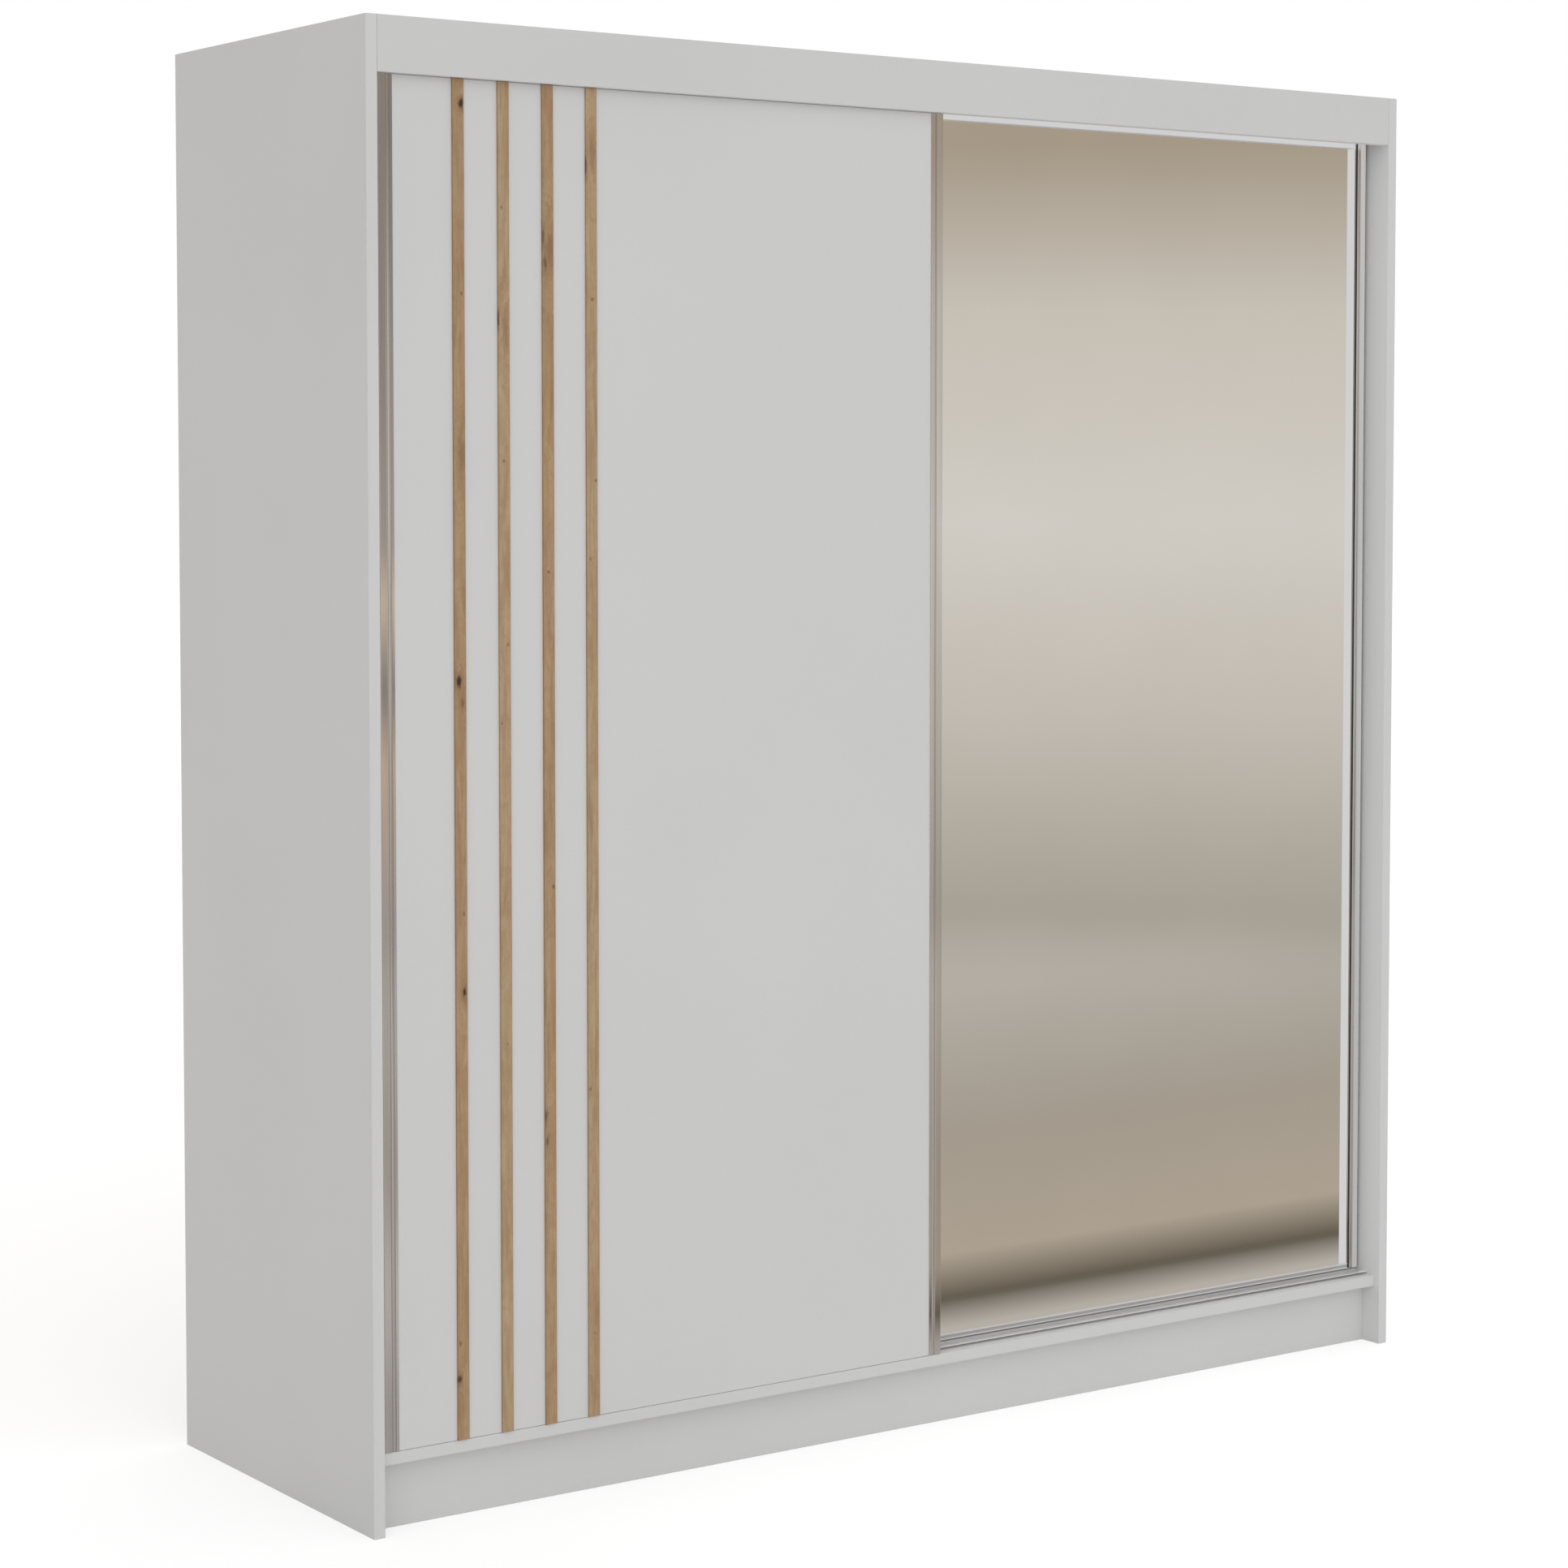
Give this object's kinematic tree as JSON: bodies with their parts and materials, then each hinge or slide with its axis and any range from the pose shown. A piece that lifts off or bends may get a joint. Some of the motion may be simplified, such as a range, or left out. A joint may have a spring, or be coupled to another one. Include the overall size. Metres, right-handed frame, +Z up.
{
  "type": "sliding door wardrobe",
  "caption": "White wardrobe with a plain sliding door trimmed with oak strips, a mirror sliding door, shelves, a hanging rail and aluminium tracks.",
  "frame": {"origin": "on the floor, under the middle of the carcass", "axes": "+Z up, +X to the right along the doors' travel, -Y towards the user"},
  "size_m": [2, 0.61, 2.16],
  "materials": {
    "white_laminate": "white melamine laminate on chipboard, satin",
    "door_backing": "white melamine laminate on chipboard, satin",
    "back_fibreboard": "thin fibreboard, painted white inside, raw brown outside",
    "oak": "knotty oak, matt",
    "polished_aluminium": "polished anodised",
    "track_aluminium": "satin anodised",
    "mirror_glass": "silvered glass",
    "zinc_steel": "bright zinc plate",
    "zinc_casting": "die cast zinc",
    "chrome": "polished chrome plate",
    "beech": "fluted beech",
    "nylon": "natural nylon",
    "white_plastic": "matt extruded plastic",
    "brush_pile": "woven grey pile",
    "black_rubber": "matt rubber"
  },
  "bodies": {
    "carcass": {"side_panel_left": "white_laminate", "side_panel_right": "white_laminate", "top_panel": "white_laminate", "bottom_panel": "white_laminate", "centre_partition": "white_laminate", "fascia": "white_laminate", "plinth_front": "white_laminate", "plinth_rear": "white_laminate", "plinth_support": "white_laminate", "back_sheet_left": "back_fibreboard", "back_sheet_right": "back_fibreboard", "back_cover_strip": "white_plastic", "back_nails": "zinc_steel", "upper_shelf_left": "white_laminate", "upper_shelf_right": "white_laminate", "adjustable_shelf_1": "white_laminate", "adjustable_shelf_2": "white_laminate", "adjustable_shelf_3": "white_laminate", "adjustable_shelf_4": "white_laminate", "shelf_pins": "zinc_steel", "hanging_rail": "chrome", "rail_sockets": "chrome", "wall_brackets": "zinc_steel", "carcass_screws": "zinc_steel", "partition_screws": "zinc_steel", "cam_locks": "zinc_casting", "cam_bolts": "zinc_steel", "wooden_dowels": "beech", "bottom_track": "track_aluminium", "top_track": "track_aluminium", "track_stops": "black_rubber"},
    "left_door": {"left_door_panel": "white_laminate", "left_door_oak_strip_1": "oak", "left_door_oak_strip_2": "oak", "left_door_oak_strip_3": "oak", "left_door_oak_strip_4": "oak", "left_door_handle_outer": "polished_aluminium", "left_door_handle_inner": "polished_aluminium", "left_door_brush": "brush_pile", "left_door_roller_brackets": "zinc_steel", "left_door_axles": "zinc_steel", "left_door_guide_brackets": "zinc_steel", "left_door_guide_blocks": "nylon", "left_door_screws": "zinc_steel"},
    "right_door": {"right_door_mirror": "mirror_glass", "right_door_board": "door_backing", "right_door_bottom_profile": "polished_aluminium", "right_door_handle_outer": "polished_aluminium", "right_door_handle_inner": "polished_aluminium", "right_door_brush": "brush_pile", "right_door_roller_brackets": "zinc_steel", "right_door_axles": "zinc_steel", "right_door_guide_brackets": "zinc_steel", "right_door_guide_blocks": "nylon", "right_door_screws": "zinc_steel"},
    "left_door_wheel_1": {"left_door_wheel_1": "nylon"},
    "left_door_wheel_2": {"left_door_wheel_2": "nylon"},
    "right_door_wheel_1": {"right_door_wheel_1": "nylon"},
    "right_door_wheel_2": {"right_door_wheel_2": "nylon"}
  },
  "joints": [
    {"name": "left_door_slide", "type": "slide", "parent": "carcass", "child": "left_door", "axis": [1, 0, 0], "range_m": [0, 0.95]},
    {"name": "right_door_slide", "type": "slide", "parent": "carcass", "child": "right_door", "axis": [-1, 0, 0], "range_m": [0, 0.95]},
    {"name": "left_door_wheel_1_spin", "type": "hinge", "parent": "left_door", "child": "left_door_wheel_1", "pos_m": [-0.916, -0.263, 0.1325], "axis": [0, 1, 0], "continuous": true},
    {"name": "left_door_wheel_2_spin", "type": "hinge", "parent": "left_door", "child": "left_door_wheel_2", "pos_m": [-0.034, -0.263, 0.1325], "axis": [0, 1, 0], "continuous": true},
    {"name": "right_door_wheel_1_spin", "type": "hinge", "parent": "right_door", "child": "right_door_wheel_1", "pos_m": [0.034, -0.225, 0.1325], "axis": [0, 1, 0], "continuous": true},
    {"name": "right_door_wheel_2_spin", "type": "hinge", "parent": "right_door", "child": "right_door_wheel_2", "pos_m": [0.916, -0.225, 0.1325], "axis": [0, 1, 0], "continuous": true}
  ],
  "couplings": [
    {"joint": "left_door_wheel_1_spin", "follows": "left_door_slide", "rad_per_m": 90.09},
    {"joint": "left_door_wheel_2_spin", "follows": "left_door_slide", "rad_per_m": 90.09},
    {"joint": "right_door_wheel_1_spin", "follows": "right_door_slide", "rad_per_m": -90.09},
    {"joint": "right_door_wheel_2_spin", "follows": "right_door_slide", "rad_per_m": -90.09}
  ]
}
